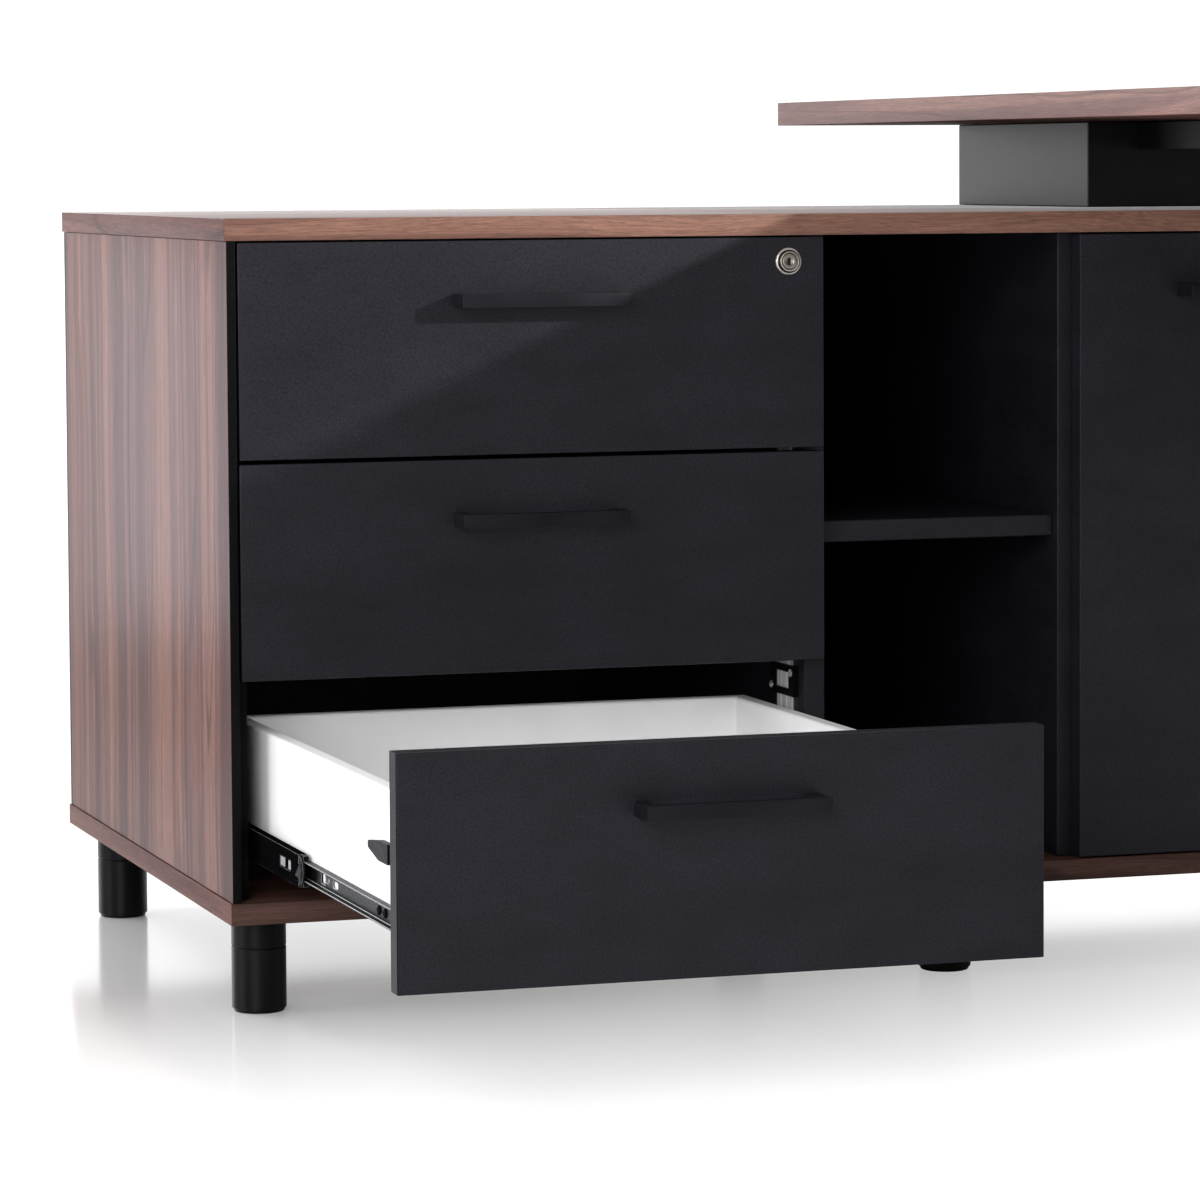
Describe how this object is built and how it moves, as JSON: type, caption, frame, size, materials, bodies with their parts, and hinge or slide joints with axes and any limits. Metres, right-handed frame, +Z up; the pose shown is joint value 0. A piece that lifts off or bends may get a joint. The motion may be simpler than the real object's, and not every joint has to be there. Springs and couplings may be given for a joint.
{
  "type": "executive desk",
  "caption": "L-shaped executive desk: walnut top on a steel loop leg and a low storage return with black drawers, an open bay, doors, bar handles and a central lock.",
  "frame": {"origin": "on the floor, at the middle of the object's footprint with the bottom drawer pulled out as stored", "axes": "+X to the right along the return's fronts, +Y from the fronts to the return's back along the desk top's length, +Z up"},
  "size_m": [1.4, 1.8, 0.75],
  "materials": {
    "walnut": "matt walnut grain melamine",
    "black_board": "matt black melamine with a fine grain",
    "white_board": "satin white wrapped board",
    "black_steel": "satin black powder coat",
    "black_plastic": "moulded black plastic",
    "nickel": "satin nickel plate",
    "aluminium": "drawn aluminium"
  },
  "bodies": {
    "carcass": {"cabinet_top": "walnut", "cabinet_base": "walnut", "left_end_panel": "walnut", "right_end_panel": "walnut", "left_divider": "black_board", "right_divider": "black_board", "back_panel": "black_board", "bay_shelf": "black_board", "cupboard_shelf": "black_board", "bottom_slide_outer_left": "black_steel", "bottom_slide_outer_right": "black_steel", "middle_slide_outer_left": "black_steel", "middle_slide_outer_right": "black_steel", "top_slide_outer_left": "black_steel", "top_slide_outer_right": "black_steel", "front_left_leg": "black_steel", "front_middle_leg": "black_steel", "front_right_leg": "black_steel", "rear_left_leg": "black_steel", "rear_middle_leg": "black_steel", "rear_right_leg": "black_steel", "desk_top": "walnut", "riser": "black_board", "underframe": "black_steel", "modesty_panel": "black_board"},
    "bottom_drawer": {"bottom_drawer_front": "black_board", "bottom_drawer_box": "white_board", "bottom_drawer_bottom": "white_board", "bottom_drawer_handle": "black_steel", "bottom_slide_inner_left": "black_steel", "bottom_slide_inner_right": "black_steel", "bottom_right_catch": "black_plastic"},
    "middle_drawer": {"middle_drawer_front": "black_board", "middle_drawer_box": "white_board", "middle_drawer_bottom": "white_board", "middle_drawer_handle": "black_steel", "middle_slide_inner_left": "black_steel", "middle_slide_inner_right": "black_steel", "middle_right_catch": "black_plastic"},
    "top_drawer": {"top_drawer_front": "black_board", "top_drawer_box": "white_board", "top_drawer_bottom": "white_board", "top_drawer_handle": "black_steel", "top_slide_inner_left": "black_steel", "top_slide_inner_right": "black_steel", "top_right_catch": "black_plastic", "lock_cylinder": "nickel"},
    "bottom_slide_middle": {"bottom_slide_middle_left": "black_steel", "bottom_slide_middle_right": "black_steel"},
    "middle_slide_middle": {"middle_slide_middle_left": "black_steel", "middle_slide_middle_right": "black_steel"},
    "top_slide_middle": {"top_slide_middle_left": "black_steel", "top_slide_middle_right": "black_steel"},
    "left_door": {"left_door_panel": "black_board", "left_door_handle": "black_steel"},
    "right_door": {"right_door_panel": "black_board", "right_door_handle": "black_steel"},
    "lock_core": {"lock_core": "nickel"},
    "lock_bar": {"lock_bar": "aluminium"}
  },
  "joints": [
    {"name": "bottom_drawer_slide", "type": "slide", "parent": "carcass", "child": "bottom_drawer", "axis": [0, -1, 0], "range_m": [-0.466, 0.024]},
    {"name": "bottom_middle_slide", "type": "slide", "parent": "carcass", "child": "bottom_slide_middle", "axis": [0, -1, 0], "range_m": [-0.233, 0.012]},
    {"name": "middle_drawer_slide", "type": "slide", "parent": "carcass", "child": "middle_drawer", "axis": [0, -1, 0], "range_m": [0, 0.49]},
    {"name": "middle_middle_slide", "type": "slide", "parent": "carcass", "child": "middle_slide_middle", "axis": [0, -1, 0], "range_m": [0, 0.245]},
    {"name": "top_drawer_slide", "type": "slide", "parent": "carcass", "child": "top_drawer", "axis": [0, -1, 0], "range_m": [0, 0.49]},
    {"name": "top_middle_slide", "type": "slide", "parent": "carcass", "child": "top_slide_middle", "axis": [0, -1, 0], "range_m": [0, 0.245]},
    {"name": "left_door_hinge", "type": "hinge", "parent": "carcass", "child": "left_door", "pos_m": [0.042, 0.25, 0.365], "axis": [0, 0, -1], "range_deg": [0, 105]},
    {"name": "right_door_hinge", "type": "hinge", "parent": "carcass", "child": "right_door", "pos_m": [0.6895, 0.25, 0.365], "axis": [0, 0, 1], "range_deg": [0, 105]},
    {"name": "lock_turn", "type": "hinge", "parent": "top_drawer", "child": "lock_core", "pos_m": [-0.221, 0.25, 0.6105], "axis": [0, -1, 0], "range_deg": [0, 90]},
    {"name": "lock_bar_lift", "type": "slide", "parent": "carcass", "child": "lock_bar", "axis": [0, 0, 1], "range_m": [0, 0.01]}
  ],
  "couplings": [
    {"joint": "bottom_middle_slide", "follows": "bottom_drawer_slide", "ratio": 0.5},
    {"joint": "middle_middle_slide", "follows": "middle_drawer_slide", "ratio": 0.5},
    {"joint": "top_middle_slide", "follows": "top_drawer_slide", "ratio": 0.5},
    {"joint": "lock_bar_lift", "follows": "lock_turn", "m_per_rad": 0.0063661}
  ]
}
